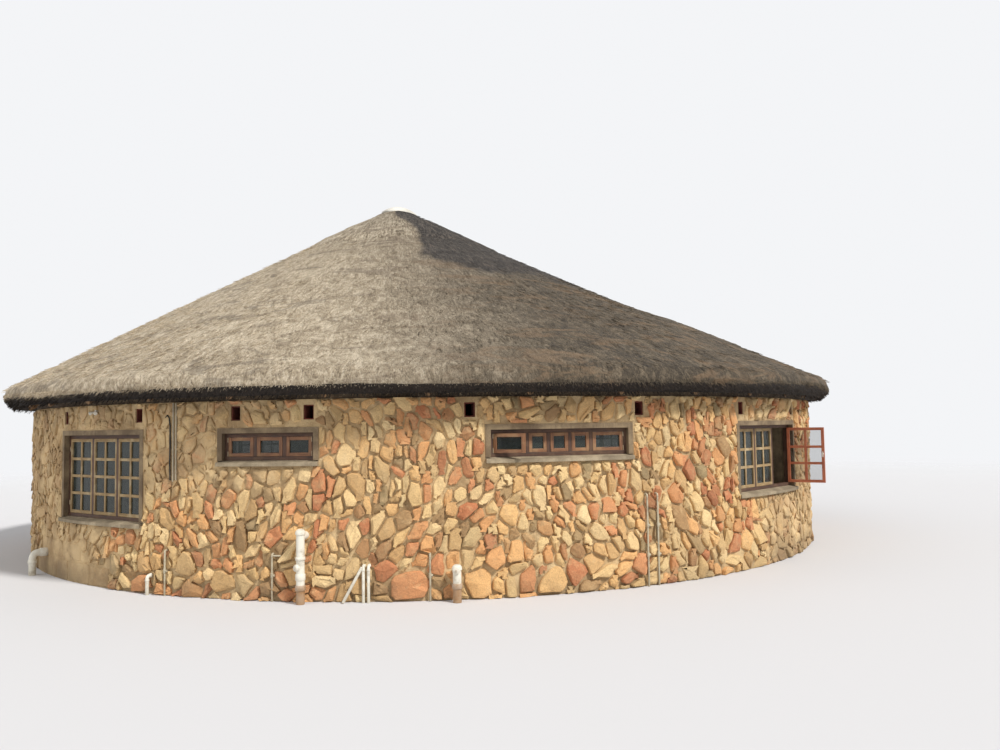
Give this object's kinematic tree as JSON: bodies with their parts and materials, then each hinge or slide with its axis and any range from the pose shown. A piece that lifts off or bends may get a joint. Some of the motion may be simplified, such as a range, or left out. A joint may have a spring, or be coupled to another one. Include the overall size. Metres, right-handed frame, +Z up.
{
  "type": "rondavel hut",
  "caption": "Round thatched hut: rubble stone wall with timber windows set in cement bands, pole roof carrying thick thatch with a cut eave and a crown layer under a small cap.",
  "frame": {"origin": "centre of the round wall's plan on the ground, under the floor slab", "axes": "+Z up, -Y towards the front with the long strip window, +X to the right seen from the front"},
  "size_m": [15.9, 15.9, 6.9239],
  "materials": {
    "rubble_stone": "rough",
    "mortar": "rough",
    "cement": "rough",
    "cement_band": "rough",
    "cement_sill": "rough",
    "frame_wood": "satin",
    "sash_wood": "satin",
    "weathered_sash_wood": "matte",
    "varnished_sash_wood": "satin",
    "window_glass": "gloss",
    "door_wood": "satin",
    "pole_wood": "matte",
    "batten_wood": "matte",
    "thatch": "rough",
    "crown_thatch": "rough",
    "cap_cement": "rough",
    "white_pvc": "matte",
    "galvanised_pipe": "satin",
    "grey_conduit": "matte"
  },
  "bodies": {
    "root": {"wall_bay_front_left": "rubble_stone", "wall_bay_front_mid": "rubble_stone", "wall_bay_front_centre": "rubble_stone", "wall_bay_front_right": "rubble_stone", "wall_bay_east": "rubble_stone", "wall_bay_rear_right": "rubble_stone", "wall_bay_door": "rubble_stone", "wall_bay_rear_left": "rubble_stone", "wall_bay_west": "rubble_stone", "wall_head_filling": "mortar", "floor_slab": "cement", "cement_bands_front": "cement_band", "cement_bands_rear": "cement_band", "cement_sills_front": "cement_sill", "cement_sills_rear": "cement_sill", "door_step": "cement", "window_frame_front_big": "frame_wood", "window_frame_front_strip": "frame_wood", "window_frame_front_long": "frame_wood", "window_frame_front_right": "frame_wood", "window_frames_rear": "frame_wood", "window_sashes_front_big": "weathered_sash_wood", "window_sashes_front_strip": "sash_wood", "window_sashes_front_long": "sash_wood", "window_sashes_front_right": "weathered_sash_wood", "window_sashes_rear": "sash_wood", "open_sash_front_long": "sash_wood", "open_sash_front_right": "varnished_sash_wood", "window_glass_front": "window_glass", "window_glass_rear": "window_glass", "door_frame": "frame_wood", "door_leaf": "door_wood", "wall_plate": "pole_wood", "pole_rafters": "pole_wood", "roof_battens": "batten_wood", "roof_hub": "pole_wood", "thatch_roof": "thatch", "thatch_crown": "crown_thatch", "peak_cap": "cap_cement", "soil_pipe": "white_pvc", "waste_pipes": "white_pvc", "water_risers": "galvanised_pipe", "wall_conduits": "grey_conduit"}
  },
  "joints": []
}
